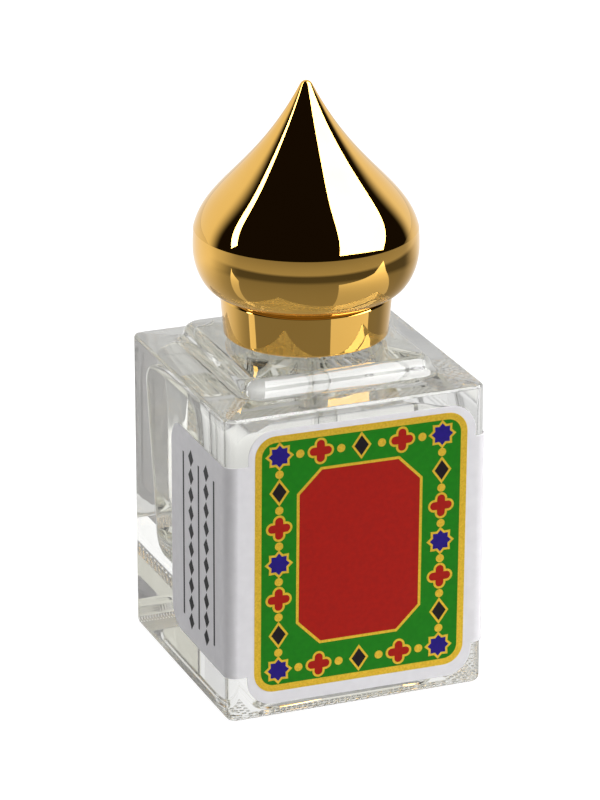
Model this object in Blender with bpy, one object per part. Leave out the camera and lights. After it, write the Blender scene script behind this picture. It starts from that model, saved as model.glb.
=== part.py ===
# Perfume oil bottle: a heavy square glass bottle with a screw neck, a gold cap made of two
# shells, and the dabber rod, liner and orifice plug that work inside the neck.
# Lengths are in metres. +Z is up, the label's front faces -Y, and the base stands on z = 0.

import math

import bmesh
import bpy
from mathutils import Matrix, Vector
from mathutils.geometry import interpolate_bezier

# Clearance that neighbouring pieces keep
fit_gap = 0.0003

# Glass body
body_width = 0.0283
body_height = 0.0331
body_corner_radius = 0.0011
heel_radius = 0.0007
brow_radius = 0.0005
shoulder_rise = 0.0005

# Recess under the base, inside its flat foot
foot_width = 0.0034
recess_bevel = 0.0007
recess_depth = 0.0005
recess_corner_radius = 0.0026

# Square plinth on the shoulder
shoulder_ledge = 0.00385
plinth_height = 0.0018
plinth_draft = 0.0008
plinth_fillet = 0.0006
plinth_round = 0.0006
plinth_corner_radius = 0.0018

# Hollow of the bottle
glass_wall = 0.0016
cavity_draft = 0.0020
glass_base = 0.0091
roof_thickness = 0.0025
cavity_corner_radius = 0.0030
floor_radius = 0.0022
floor_dish = 0.0005
roof_radius = 0.0015
roof_rise = 0.0010
throat_radius = 0.0020

# Neck and its thread
neck_length = 0.0109
neck_radius = 0.00575
neck_fillet = 0.0011
collar_rise = 0.0003
bore_radius = 0.0042
lip_radius = 0.0004
thread_pitch = 0.0021
thread_height = 0.00075
thread_root_width = 0.0012
thread_crest_width = 0.0005
thread_below_lip = 0.0022
neck_thread_turns = 2.0

# Orifice plug in the neck
plug_flange_radius = 0.0052
plug_flange_thickness = 0.0006
plug_length = 0.0065
plug_wall = 0.0006
plug_floor = 0.0008
plug_bead_height = 0.0002
plug_bead_width = 0.0008
plug_bead_spacing = 0.0016
plug_bead_count = 2

# Dabber rod
rod_radius = 0.00125
rod_tip_height = 0.0025
rod_head_radius = 0.0044
rod_head_thickness = 0.0008
rod_knob_radius = 0.0019
rod_knob_height = 0.0010
rod_groove_depth = 0.0003
rod_groove_width = 0.0005
rod_groove_spacing = 0.0011
rod_groove_count = 4

# Liner and threaded insert in the cap
liner_thickness = 0.0008
insert_wall = 0.0005
insert_thread_height = 0.00035
insert_thread_turns = 1.5
insert_thread_rise = 0.0014
insert_plate = 0.0010
insert_recess = 0.0009
insert_flange_thickness = 0.0008
insert_chamfer = 0.0003

# Lower gold shell: skirt and bowl
shell_wall = 0.0006
skirt_clearance = 0.0009
skirt_draft = 0.00035
skirt_round = 0.0002
skirt_groove_width = 0.0004
skirt_groove_depth = 0.0002
bowl_overhang = 0.00275
bowl_height = 0.0066
bowl_widest_drop = 0.0020
crease_inset = 0.0001
ledge_thickness = 0.0012
seam_above_lip = 0.0013
spigot_height = 0.0008
spigot_wall = 0.0006
spigot_taper = 0.0004

# Upper gold shell: the onion dome
dome_wall = 0.0007
dome_height = 0.0155
tip_radius = 0.0007

# Places of the curves' handles, as shares of each curve's width and height
bowl_foot_handle_shares = (0.60, 0.01)
bowl_side_handle_share = 0.46
crease_handle_share = 0.45
dome_crease_handle_shares = (0.104, 0.298)
dome_tip_handle_shares = (0.424, 0.595)

# Rounded noses: where their arcs start and end, as shares of a quarter turn
tip_start_share = 0.30
tip_end_share = 0.92
rod_nose_start_share = -0.75

# Rings between a square and a round stretch of glass, as shares of the way across
collar_share = 0.55
vault_share = 0.60
dish_share = 0.50

# Least corner of an inset square, the depth that a thread's foot is sunk into its wall, the part
# of a turn in which a thread runs out, and the set-in of the dome's inner lip
least_corner_share = 0.10
thread_depth_share = 0.40
run_out_share = 0.125
shell_lip_share = 0.20

# Wrap label
label_gap = 0.0001
label_thickness = 0.00012
label_shift = 0.00028
panel_side_margin = 0.0017
panel_bottom_margin = 0.0014
panel_top_margin = 0.0017
panel_corner_radius = 0.0028
wing_bottom_step = 0.0035
wing_top_step = 0.0036
wing_past_middle = 0.0017
wing_corner_radius = 0.0025

# Oil, which fills the hollow and stands in the neck
oil_above_throat = 0.0010

# Fineness of the meshes
side_steps = 2
corner_steps = 6
arc_steps = 3
label_corner_steps = 6
bowl_steps = 7
dome_steps = 13
cap_segments = 40
rod_segments = 20
ring_points = 4 * (2 * side_steps + corner_steps)
smooth_angle = math.radians(35)

# Heights that follow from the sizes above
body_half = body_width / 2
shoulder_top = body_height + shoulder_rise
plinth_top = shoulder_top + plinth_height
lip_height = plinth_top + neck_length
ceiling_height = body_height - roof_thickness
plug_seat = lip_height + fit_gap
liner_seat = plug_seat + plug_flange_thickness + fit_gap
head_seat = liner_seat + liner_thickness + fit_gap
plate_seat = head_seat + rod_head_thickness + fit_gap
insert_top = plate_seat + insert_plate
seam_height = lip_height + seam_above_lip
skirt_bottom = plinth_top + skirt_clearance
skirt_top = seam_height - bowl_height
ledge_height = skirt_top + ledge_thickness
rod_tip = glass_base + rod_tip_height

# The label's run: straight halves of a side, and the bend round a corner
label_straight = body_half - body_corner_radius
label_bend_radius = body_corner_radius + label_gap
label_turn = label_bend_radius * math.pi / 2

# Radii that follow, from the neck outwards
cavity_half = body_half - glass_wall
plinth_half = body_half - shoulder_ledge
thread_crest_radius = neck_radius + thread_height
insert_crest_radius = thread_crest_radius + fit_gap
insert_bore_radius = insert_crest_radius + insert_thread_height
insert_radius = insert_bore_radius + insert_wall
skirt_bore_radius = insert_radius + fit_gap
skirt_radius = skirt_bore_radius + shell_wall
skirt_top_radius = skirt_radius + skirt_draft
bowl_radius = skirt_top_radius + bowl_overhang
crease_radius = bowl_radius - crease_inset
spigot_radius = crease_radius - dome_wall - fit_gap - spigot_taper
bowl_bore_radius = spigot_radius - spigot_wall
rod_hole_radius = rod_radius + fit_gap


# Materials

def finish(name, colour, roughness, metallic=0.0, transmission=0.0, ior=1.5):
    made = bpy.data.materials.new(name)
    made.use_nodes = True
    shader = made.node_tree.nodes["Principled BSDF"]
    shader.inputs["Base Color"].default_value = (*colour, 1.0)
    shader.inputs["Roughness"].default_value = roughness
    shader.inputs["Metallic"].default_value = metallic
    shader.inputs["Transmission Weight"].default_value = transmission
    shader.inputs["IOR"].default_value = ior
    made.diffuse_color = (*colour, 1.0)
    return made


# Outlines: arcs, curves and rings

def arc(centre, radius, start, end, steps=arc_steps):
    # Points (radius, height) round a centre, with the angles in quarter turns from +X to +Z.
    points = []
    for step in range(steps + 1):
        angle = math.radians(90) * (start + (end - start) * step / steps)
        points.append((centre[0] + radius * math.cos(angle), centre[1] + radius * math.sin(angle)))
    return points


def curve(start, start_handle, end_handle, end, steps):
    flat = [Vector((*point, 0.0)) for point in (start, start_handle, end_handle, end)]
    return [(point.x, point.y) for point in interpolate_bezier(*flat, steps + 1)]


def round_ring(radius, height, count=ring_points):
    turn = 2 * math.pi / count
    return [Vector((radius * math.cos(step * turn), radius * math.sin(step * turn), height))
            for step in range(count)]


def square_ring(half_width, corner_radius, height):
    # A rounded square, anticlockwise from the middle of its +X side.
    corner = half_width - corner_radius
    quarter = [(half_width, corner * step / side_steps) for step in range(side_steps)]
    quarter += [(corner + x, corner + y) for x, y in arc((0.0, 0.0), corner_radius, 0, 1, corner_steps)]
    quarter += [(y, x) for x, y in reversed(quarter[1:side_steps])]
    points = []
    for side in range(4):
        turn = Matrix.Rotation(math.radians(90) * side, 3, "Z")
        points += [turn @ Vector((x, y, height)) for x, y in quarter]
    return points


def mixed_ring(first, second, share):
    return [a.lerp(b, share) for a, b in zip(first, second)]


def offset_square_rings(outline, half_width, corner_radius):
    # One ring for each (half width, height) of an outline, its corners offset with its sides.
    rings = []
    for half, height in outline:
        corner = max(corner_radius + half - half_width, corner_radius * least_corner_share)
        rings.append(square_ring(half, corner, height))
    return rings


# Solids

def place(name, mesh_data, material, parent):
    mesh = bpy.data.meshes.new(name)
    bmesh.ops.recalc_face_normals(mesh_data, faces=mesh_data.faces)
    mesh_data.to_mesh(mesh)
    mesh_data.free()
    mesh.materials.append(material)
    mesh.shade_smooth()
    mesh.set_sharp_from_angle(angle=smooth_angle)
    placed = bpy.data.objects.new(name, mesh)
    bpy.context.scene.collection.objects.link(placed)
    placed.parent = parent
    return placed


def lofted(name, rings, material, parent, looped=False):
    # A skin over the rings in turn. It closes on itself, or over the first and the last ring.
    # Heights are measured from the parent empty.
    drop = Vector((0.0, 0.0, parent.matrix_world.translation.z))
    skin = bmesh.new()
    loops = [[skin.verts.new(point - drop) for point in ring] for ring in rings]
    pairs = list(zip(loops, loops[1:]))
    if looped:
        pairs.append((loops[-1], loops[0]))
    else:
        skin.faces.new(loops[0])
        skin.faces.new(loops[-1])
    for low, high in pairs:
        for step in range(len(low)):
            ahead = (step + 1) % len(low)
            skin.faces.new((low[step], low[ahead], high[ahead], high[step]))
    return place(name, skin, material, parent)


def turned(name, outline, material, parent, segments=cap_segments, looped=True):
    rings = [round_ring(radius, height, segments) for radius, height in outline]
    return lofted(name, rings, material, parent, looped)


def add_helix(target, surface_radius, crest_radius, bottom, turns, depth):
    # Unites a thread with the wall at surface_radius. Its ends run out into that wall.
    inward = 1 if crest_radius < surface_radius else -1
    buried = surface_radius + inward * depth
    hidden = surface_radius + inward * depth / 2
    steps = round(turns * cap_segments)
    run_out = cap_segments * run_out_share
    drop = target.parent.matrix_world.translation.z
    bead = bmesh.new()
    loops = []
    for step in range(steps + 1):
        angle = 2 * math.pi * step / cap_segments
        height = bottom + thread_pitch * step / cap_segments - drop
        share = min(1.0, step / run_out, (steps - step) / run_out)
        crest = hidden + (crest_radius - hidden) * share
        section = ((buried, thread_root_width), (crest, thread_crest_width),
                   (crest, -thread_crest_width), (buried, -thread_root_width))
        loops.append([bead.verts.new((radius * math.cos(angle), radius * math.sin(angle),
                                      height + width / 2)) for radius, width in section])
    bead.faces.new(loops[0])
    bead.faces.new(loops[-1])
    for low, high in zip(loops, loops[1:]):
        for corner in range(len(low)):
            after = (corner + 1) % len(low)
            bead.faces.new((low[corner], low[after], high[after], high[corner]))
    helix = place(target.name + "_thread", bead, target.data.materials[0], target.parent)
    helix.hide_render = True
    helix.display_type = "WIRE"
    union = target.modifiers.new("thread", "BOOLEAN")
    union.operation = "UNION"
    union.solver = "EXACT"
    union.object = helix


# Glass bottle

def cavity_rings(inset):
    # The hollow from its throat down to the middle of its floor, which is narrower than its roof.
    throat = ceiling_height + roof_rise + throat_radius
    half = cavity_half - inset
    foot_half = half - cavity_draft
    ceiling = ceiling_height - inset
    floor = glass_base + floor_dish + inset
    mouth = arc((bore_radius + throat_radius, throat), throat_radius + inset, 2, 3)
    rings = [round_ring(radius, height) for radius, height in mouth]
    radius = roof_radius - inset
    roof = offset_square_rings(arc((half - radius, ceiling - radius), radius, 1, 0), half,
                               cavity_corner_radius - inset)
    rings += [mixed_ring(rings[-1], roof[0], vault_share)] + roof
    radius = floor_radius - inset
    rings += offset_square_rings(arc((foot_half - radius, floor + radius), radius, 0, -1), foot_half,
                                 cavity_corner_radius - inset)
    return rings + [round_ring((foot_half - radius) * dish_share, floor - floor_dish)]


def glass_base_rings():
    recess_half = body_half - heel_radius - foot_width
    recess = [(recess_half - recess_bevel, recess_depth), (recess_half, 0.0)]
    heel = arc((body_half - heel_radius, heel_radius), heel_radius, -1, 0)
    return (offset_square_rings(recess, recess_half, recess_corner_radius)
            + offset_square_rings(heel, body_half, body_corner_radius))


def glass_shoulder_rings():
    brow = arc((body_half - brow_radius, body_height - brow_radius), brow_radius, 0, 1)
    foot = arc((plinth_half + plinth_fillet, shoulder_top + plinth_fillet), plinth_fillet, 3, 2)
    rim_half = plinth_half - plinth_draft
    edge = arc((rim_half - plinth_round, plinth_top - plinth_round), plinth_round, 0, 1)
    return (offset_square_rings(brow, body_half, body_corner_radius)
            + offset_square_rings(foot, plinth_half, plinth_corner_radius)
            + offset_square_rings(edge, rim_half, plinth_corner_radius))


def glass_neck_rings():
    foot_height = plinth_top + collar_rise
    outline = arc((neck_radius + neck_fillet, foot_height + neck_fillet), neck_fillet, 3, 2)
    outline += arc((neck_radius - lip_radius, lip_height - lip_radius), lip_radius, 0, 1)
    outline += arc((bore_radius + lip_radius, lip_height - lip_radius), lip_radius, 1, 2)
    return [round_ring(radius, height) for radius, height in outline]


def make_glass_bottle(parent):
    clear_glass = finish("clear_glass", (0.95, 0.97, 0.96), 0.02, transmission=1.0, ior=1.52)
    shoulder = glass_shoulder_rings()
    neck = glass_neck_rings()
    rings = glass_base_rings() + shoulder + [mixed_ring(shoulder[-1], neck[0], collar_share)] + neck
    rings += cavity_rings(0.0)
    bottle = lofted("glass_bottle", rings, clear_glass, parent)
    thread_bottom = lip_height - thread_below_lip - neck_thread_turns * thread_pitch
    buried = (neck_radius - bore_radius) * thread_depth_share
    add_helix(bottle, neck_radius, thread_crest_radius, thread_bottom, neck_thread_turns, buried)


# Orifice plug

def make_neck_plug(parent):
    ldpe = finish("natural_ldpe", (0.86, 0.87, 0.85), 0.38)
    body_radius = bore_radius - fit_gap - plug_bead_height
    cup_radius = body_radius - plug_wall
    bottom = plug_seat - plug_length
    outline = [(cup_radius, plug_seat + plug_flange_thickness),
               (plug_flange_radius, plug_seat + plug_flange_thickness),
               (plug_flange_radius, plug_seat), (body_radius, plug_seat)]
    for bead in range(plug_bead_count):
        middle = plug_seat - plug_bead_spacing * (bead + 1)
        outline += [(body_radius, middle + plug_bead_width / 2),
                    (body_radius + plug_bead_height, middle),
                    (body_radius, middle - plug_bead_width / 2)]
    outline += [(body_radius, bottom + plug_wall), (cup_radius, bottom), (rod_hole_radius, bottom),
                (rod_hole_radius, bottom + plug_floor), (cup_radius, bottom + plug_floor)]
    turned("neck_plug", outline, ldpe, parent, ring_points)


# Perfume oil, with the well that the rod stands in

def make_perfume_oil(parent):
    oil = finish("perfume_oil", (0.98, 0.93, 0.78), 0.0, transmission=1.0, ior=1.46)
    level = ceiling_height + roof_rise + throat_radius + oil_above_throat
    well = [round_ring(rod_hole_radius, rod_tip - fit_gap), round_ring(rod_hole_radius, level)]
    lofted("perfume_oil", well + [round_ring(bore_radius - fit_gap, level)] + cavity_rings(fit_gap),
           oil, parent)


# Wrap label, cut flat and then wrapped round the corners

def label_outline():
    # Anticlockwise, as (distance along the bottle from the middle of its front, height).
    bottom = panel_bottom_margin
    top = body_height - panel_top_margin
    low = bottom + wing_bottom_step
    high = top - wing_top_step
    half = body_half - panel_side_margin
    reach = 2 * label_straight + label_turn + wing_past_middle + label_shift

    def corner(edge, level, radius, side, lift, start):
        centre = (label_shift + side * (edge - radius), level - lift * radius)
        return arc(centre, radius, start, start + 1, label_corner_steps)

    outline = corner(half, bottom, panel_corner_radius, 1, -1, 3)
    outline.append((label_shift + half, low))
    outline += corner(reach, low, wing_corner_radius, 1, -1, 3)
    outline += corner(reach, high, wing_corner_radius, 1, 1, 0)
    outline.append((label_shift + half, high))
    outline += corner(half, top, panel_corner_radius, 1, 1, 0)
    outline += corner(half, top, panel_corner_radius, -1, 1, 1)
    outline.append((label_shift - half, high))
    outline += corner(reach, high, wing_corner_radius, -1, 1, 1)
    outline += corner(reach, low, wing_corner_radius, -1, -1, 2)
    outline.append((label_shift - half, low))
    outline += corner(half, bottom, panel_corner_radius, -1, -1, 2)
    return outline


def wrapped(along, depth, height):
    # The place on the bottle of a point of the flat label, depth above its glued side.
    side = math.copysign(1.0, along)
    run = abs(along) - label_straight
    stand = label_bend_radius + depth
    if run <= 0.0:
        across, back = abs(along), stand
    elif run <= label_turn:
        angle = run / label_bend_radius
        across = label_straight + stand * math.sin(angle)
        back = stand * math.cos(angle)
    else:
        across, back = label_straight + stand, label_turn - run
    return Vector((side * across, -label_straight - back, height))


def make_wrap_label(parent):
    paper = finish("label_paper", (0.86, 0.85, 0.88), 0.45)
    sheet = bmesh.new()
    sheet.faces.new([sheet.verts.new((along, 0.0, height)) for along, height in label_outline()])
    for side in (-1, 1):
        for step in range(corner_steps + 1):
            bend = side * (label_straight + label_turn * step / corner_steps)
            bmesh.ops.bisect_plane(sheet, geom=sheet.verts[:] + sheet.edges[:] + sheet.faces[:],
                                   plane_co=(bend, 0.0, 0.0), plane_no=(1.0, 0.0, 0.0))
    raised = bmesh.ops.extrude_face_region(sheet, geom=sheet.faces[:])
    for item in raised["geom"]:
        if isinstance(item, bmesh.types.BMVert):
            item.co.y = label_thickness
    for vert in sheet.verts:
        vert.co = wrapped(*vert.co)
    place("wrap_label", sheet, paper, parent)


# Dabber rod and liner, which lift together

def make_applicator_rod(parent):
    rod_plastic = finish("clear_rod", (0.95, 0.96, 0.95), 0.05, transmission=1.0, ior=1.49)
    outline = arc((0.0, rod_tip + rod_radius), rod_radius, rod_nose_start_share, 0)
    for groove in range(rod_groove_count):
        low = rod_tip + rod_radius + rod_groove_spacing * (groove + 1)
        outline += [(rod_radius, low), (rod_radius - rod_groove_depth, low),
                    (rod_radius - rod_groove_depth, low + rod_groove_width),
                    (rod_radius, low + rod_groove_width)]
    knob = insert_top + fit_gap
    outline += [(rod_radius, head_seat), (rod_head_radius, head_seat),
                (rod_head_radius, head_seat + rod_head_thickness),
                (rod_radius, head_seat + rod_head_thickness), (rod_radius, knob),
                (rod_knob_radius, knob), (rod_knob_radius, knob + rod_knob_height / 2),
                (rod_radius, knob + rod_knob_height)]
    turned("applicator_rod", outline, rod_plastic, parent, rod_segments, looped=False)


def make_seal_liner(parent):
    foam = finish("liner_foam", (0.90, 0.90, 0.88), 0.8)
    outer = insert_bore_radius - fit_gap
    top = liner_seat + liner_thickness
    outline = [(rod_hole_radius, liner_seat), (outer, liner_seat), (outer, top), (rod_hole_radius, top)]
    turned("seal_liner", outline, foam, parent)


# Threaded insert

def make_threaded_insert(parent):
    polypropylene = finish("insert_plastic", (0.88, 0.88, 0.86), 0.35)
    bottom = skirt_bottom + insert_recess
    flange_bottom = ledge_height + fit_gap
    flange_top = flange_bottom + insert_flange_thickness
    flange_radius = bowl_bore_radius - fit_gap
    outline = [(insert_radius, bottom), (insert_radius, flange_bottom), (flange_radius, flange_bottom),
               (flange_radius, flange_top), (insert_radius, flange_top),
               (insert_radius, insert_top - insert_chamfer), (insert_radius - insert_chamfer, insert_top),
               (rod_hole_radius, insert_top), (rod_hole_radius, plate_seat),
               (insert_bore_radius, plate_seat), (insert_bore_radius, bottom)]
    insert = turned("threaded_insert", outline, polypropylene, parent)
    add_helix(insert, insert_bore_radius, insert_crest_radius, bottom + insert_thread_rise,
              insert_thread_turns, insert_wall * thread_depth_share)


# Gold shells

def make_cap_bowl(gold, parent):
    width = bowl_radius - skirt_top_radius
    widest = seam_height - bowl_widest_drop
    rise = widest - skirt_top
    rim = seam_height - fit_gap / 2
    spigot_top = seam_height + spigot_height
    outline = arc((skirt_bore_radius + skirt_round, skirt_bottom + skirt_round), skirt_round, 2, 3)
    outline += arc((skirt_radius - skirt_round, skirt_bottom + skirt_round), skirt_round, 3, 4)
    outline += [(skirt_top_radius, skirt_top - skirt_groove_width),
                (skirt_top_radius - skirt_groove_depth, skirt_top - skirt_groove_width / 2)]
    outline += curve((skirt_top_radius, skirt_top),
                     (skirt_top_radius + width * bowl_foot_handle_shares[0],
                      skirt_top + rise * bowl_foot_handle_shares[1]),
                     (bowl_radius, widest - rise * bowl_side_handle_share),
                     (bowl_radius, widest), bowl_steps)
    upper = curve((bowl_radius, widest),
                  (bowl_radius, widest + bowl_widest_drop * crease_handle_share),
                  (bowl_radius - crease_inset / 2, rim - bowl_widest_drop * crease_handle_share / 2),
                  (crease_radius, rim), arc_steps)
    outline += upper[1:]
    outline += [(spigot_radius, rim), (spigot_radius, spigot_top), (bowl_bore_radius, spigot_top),
                (bowl_bore_radius, ledge_height), (skirt_bore_radius, ledge_height)]
    turned("cap_bowl", outline, gold, parent)


def dome_curve():
    # From the crease up to where the rounded tip begins.
    lean = math.radians(90) * tip_start_share
    tip = seam_height + dome_height
    end = (tip_radius * math.cos(lean), tip - tip_radius + tip_radius * math.sin(lean))
    start = (crease_radius, seam_height + fit_gap / 2)
    width = start[0] - end[0]
    rise = end[1] - start[1]
    return curve(start,
                 (start[0] - width * dome_crease_handle_shares[0],
                  start[1] + rise * dome_crease_handle_shares[1]),
                 (end[0] + width * dome_tip_handle_shares[0],
                  end[1] - rise * dome_tip_handle_shares[1]), end, dome_steps)


def inner_curve(outer, wall):
    # The same curve one wall further in, as far as it stays clear of the axis.
    inner = []
    for before, point, after in zip(outer, outer[1:], outer[2:]):
        along = Vector((after[0] - before[0], after[1] - before[1])).normalized()
        radius = point[0] - wall * along.y
        if radius > wall:
            inner.append((radius, point[1] + wall * along.x))
    first = outer[0][0] - wall - (outer[0][0] - wall - inner[0][0]) * shell_lip_share
    return [(first, outer[0][1])] + inner


def make_dome_shell(gold, parent):
    outer = dome_curve()
    inner = inner_curve(outer, dome_wall)
    tip = seam_height + dome_height
    nose = arc((0.0, tip - tip_radius), tip_radius, tip_start_share, tip_end_share)
    outline = list(reversed(inner)) + outer + nose[1:]
    turned("dome_shell", outline, gold, parent, looped=False)


# The whole object

def empty(name, height, parent=None):
    marker = bpy.data.objects.new(name, None)
    bpy.context.scene.collection.objects.link(marker)
    marker.parent = parent
    marker.location.z = height
    bpy.context.view_layer.update()
    return marker


def main():
    for old in list(bpy.data.objects):
        bpy.data.objects.remove(old)
    bottle = empty("bottle", 0.0)
    applicator = empty("applicator", lip_height, bottle)
    cap = empty("cap", skirt_bottom - lip_height, applicator)
    make_glass_bottle(bottle)
    make_neck_plug(bottle)
    make_perfume_oil(bottle)
    make_wrap_label(bottle)
    make_applicator_rod(applicator)
    make_seal_liner(applicator)
    gold = finish("polished_gold", (0.80, 0.56, 0.20), 0.04, metallic=1.0)
    make_cap_bowl(gold, cap)
    make_dome_shell(gold, cap)
    make_threaded_insert(cap)


main()
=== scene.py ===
# Perfume oil bottle: fine glass, gold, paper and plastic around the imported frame.
import bpy
import bmesh
import math
from mathutils import Matrix, Vector


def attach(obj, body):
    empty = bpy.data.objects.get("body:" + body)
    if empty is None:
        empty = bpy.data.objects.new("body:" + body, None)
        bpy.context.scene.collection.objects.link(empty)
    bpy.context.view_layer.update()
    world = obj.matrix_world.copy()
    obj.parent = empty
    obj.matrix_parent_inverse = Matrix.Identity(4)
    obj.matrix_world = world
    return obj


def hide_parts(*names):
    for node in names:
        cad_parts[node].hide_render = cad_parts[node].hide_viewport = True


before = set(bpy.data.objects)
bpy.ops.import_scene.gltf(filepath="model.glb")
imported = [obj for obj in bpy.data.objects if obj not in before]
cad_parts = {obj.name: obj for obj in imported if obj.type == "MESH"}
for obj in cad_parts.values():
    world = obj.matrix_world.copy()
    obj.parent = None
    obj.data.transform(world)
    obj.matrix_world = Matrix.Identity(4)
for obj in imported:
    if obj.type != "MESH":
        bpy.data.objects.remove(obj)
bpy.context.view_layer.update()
bpy.ops.object.select_all(action="DESELECT")
mm = 0.001
quarter = math.radians(90)


# Working tools. round is the share of its radius by which a quarter round's handles stop short of
# the corner, past is how far in mm a cutter reaches past what it cuts, facing is how squarely a face
# looks to the front, and smooth and soften are the least angles of sharp and of softened edges

toolSet = {"near": 0.01 * mm, "onWall": 0.02 * mm, "onFront": 0.001 * mm, "bisect": 1e-8,
           "merge": 1e-7, "curveSteps": 28, "pathSteps": 64, "steps": 256, "smallSteps": 96,
           "round": 0.45, "past": 1, "facing": 0.9, "smooth": 30, "soften": 40}


def startPiece(name):
    piece = bpy.context.active_object
    piece.name = name
    piece.data.name = name
    return piece


def placePiece(name):
    # Names a new primitive and settles its place and size in its mesh
    piece = startPiece(name)
    bpy.ops.object.transform_apply(location=True, rotation=True, scale=True)
    return piece


def selectOnly(piece):
    bpy.ops.object.select_all(action="DESELECT")
    piece.select_set(True)
    bpy.context.view_layer.objects.active = piece


def editMode(piece, action="DESELECT"):
    objectMode()
    selectOnly(piece)
    bpy.ops.object.mode_set(mode="EDIT")
    bpy.ops.mesh.select_mode(type="VERT")
    bpy.ops.mesh.select_all(action=action)


def objectMode():
    bpy.ops.object.mode_set(mode="OBJECT")


def pickParts(piece, kind, test):
    # Selects the vertices, edges or faces that pass the test, which is given their corners' places
    editMode(piece)
    bpy.ops.mesh.select_mode(type=kind)
    shape = bmesh.from_edit_mesh(piece.data)
    parts = {"VERT": shape.verts, "EDGE": shape.edges, "FACE": shape.faces}[kind]
    for part in parts:
        part.select_set(test([part.co] if kind == "VERT" else [corner.co for corner in part.verts]))
    shape.select_flush_mode()
    bmesh.update_edit_mesh(piece.data)


def bevelEdges(piece, test, width, segments):
    pickParts(piece, "EDGE", test)
    bpy.ops.mesh.bevel(offset=width, segments=segments, affect="EDGES", clamp_overlap=False)
    objectMode()


def resizeParts(across, deep, upward):
    # Resizes what is selected from the middle
    bpy.ops.transform.resize(value=(across, deep, upward), center_override=(0, 0, 0))


def near(value, target, slack=toolSet["near"]):
    return abs(value - target) < slack


def atHeight(level, where=None):
    # A test for all corners at one height, and in the place that where gives
    return lambda corners: all(near(c.z, level) and (where is None or where(c)) for c in corners)


def onSquare(half, corner):
    # A test for a place on the rounded square of that half width
    def test(c):
        x, y, inner = abs(c.x), abs(c.y), half - corner
        if x > inner and y > inner:
            return near(math.hypot(x - inner, y - inner), corner, toolSet["onWall"])
        return near(max(x, y), half, toolSet["onWall"])
    return test


def roundedBox(name, half, low, high, corner, segments):
    # A square box with round upright corners
    bpy.ops.mesh.primitive_cube_add(size=1, location=(0, 0, (low + high) / 2),
                                    scale=(2 * half, 2 * half, high - low))
    piece = placePiece(name)
    bevelEdges(piece, lambda ends: abs(ends[0].z - ends[1].z) > (high - low) / 2, corner, segments)
    return piece


def roundBar(name, radius, low, high, sides):
    bpy.ops.mesh.primitive_cylinder_add(vertices=sides, radius=radius, depth=high - low,
                                        location=(0, 0, (low + high) / 2))
    return placePiece(name)


def applyModifier(piece, kind, **settings):
    selectOnly(piece)
    added = piece.modifiers.new(kind.lower(), kind)
    for setting, value in settings.items():
        setattr(added, setting, value)
    bpy.ops.object.modifier_apply(modifier=added.name)


def applyBoolean(piece, other, operation):
    applyModifier(piece, "BOOLEAN", operation=operation, solver="EXACT", object=other)
    bpy.data.objects.remove(other)


def cutAcross(piece, place, direction, **settings):
    editMode(piece, "SELECT")
    bpy.ops.mesh.bisect(plane_co=place, plane_no=direction, threshold=toolSet["bisect"], **settings)
    objectMode()


def roundOff(start, corner, end, share=toolSet["round"]):
    # The two points of a quarter round, from start to end, that takes off the corner
    first, last = [tuple(b + (a - b) * share for a, b in zip(point, corner))
                   for point in (start, end)]
    return [(*start, None, first), (*end, last, None)]


def drawCurve(name, points, place, fineness):
    # Draws a curve. A point is (across, up) at a corner, and (across, up, in handle, out handle)
    # where a bend starts or ends. place turns across and up, in mm, into a place in space.
    bpy.ops.curve.primitive_bezier_curve_add()
    drawn = startPiece(name)
    drawn.location = (0, 0, 0)
    spline = drawn.data.splines[0]
    spline.bezier_points.add(len(points) - len(spline.bezier_points))
    spline.resolution_u = fineness
    for knot, point in zip(spline.bezier_points, points):
        before, after = point[2:] if len(point) > 2 else (None, None)
        knot.co = place(point)
        knot.handle_left_type = "FREE" if before else "VECTOR"
        knot.handle_right_type = "FREE" if after else "VECTOR"
        knot.handle_left = place(before) if before else knot.co
        knot.handle_right = place(after) if after else knot.co
    return drawn


def spinProfile(name, points, steps=toolSet["steps"]):
    # Turns an outline of radii and heights, in mm, round the Z axis
    drawn = drawCurve(name, points, lambda at: (at[0] * mm, 0, at[1] * mm), toolSet["curveSteps"])
    drawn.data.splines[0].use_cyclic_u = points[0][0] > 0
    bpy.ops.object.convert(target="MESH")
    piece = startPiece(name)
    editMode(piece, "SELECT")
    bpy.ops.mesh.spin(steps=steps, angle=4 * quarter, center=(0, 0, 0), axis=(0, 0, 1))
    bpy.ops.mesh.select_all(action="SELECT")
    bpy.ops.mesh.remove_doubles(threshold=toolSet["merge"])
    bpy.ops.mesh.normals_make_consistent(inside=False)
    objectMode()
    return piece


def dress(piece, body, slot, node, materials=()):
    # Smooths a finished piece, gives it its materials and body, and hides the node it replaces; the
    # slot it is given is not used
    selectOnly(piece)
    bpy.ops.object.shade_smooth_by_angle(angle=math.radians(toolSet["smooth"]))
    applyModifier(piece, "WEIGHTED_NORMAL", weight=100, keep_sharp=True)
    if materials:
        piece.data.materials.clear()
    for material in materials:
        piece.data.materials.append(material)
    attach(piece, body)
    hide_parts(node)
    print(node, "made")


# Material tools. The noise between from and to is spread over the whole range

noiseSet = {"from": 0.3, "to": 0.7, "detail": 3, "glossShare": 2, "reliefDetail": 4,
            "tintScale": 90}


def newMaterial(name, **sockets):
    made = bpy.data.materials.new(name)
    made.use_nodes = True
    nodes, shader = made.node_tree.nodes, made.node_tree.nodes["Principled BSDF"]
    setSockets(shader, sockets)
    return made, nodes, made.node_tree.links, shader


def setSockets(node, values):
    for socket, value in values.items():
        node.inputs[socket.replace("_", " ")].default_value = value


def addNode(nodes, kind, settings=None, second=None, **inputs):
    # Adds a node with its settings, and gives its second and its named inputs their values
    node = nodes.new("ShaderNode" + kind)
    for setting, value in (settings or {}).items():
        setattr(node, setting, value)
    if second is not None:
        node.inputs[1].default_value = second
    setSockets(node, inputs)
    return node


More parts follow.
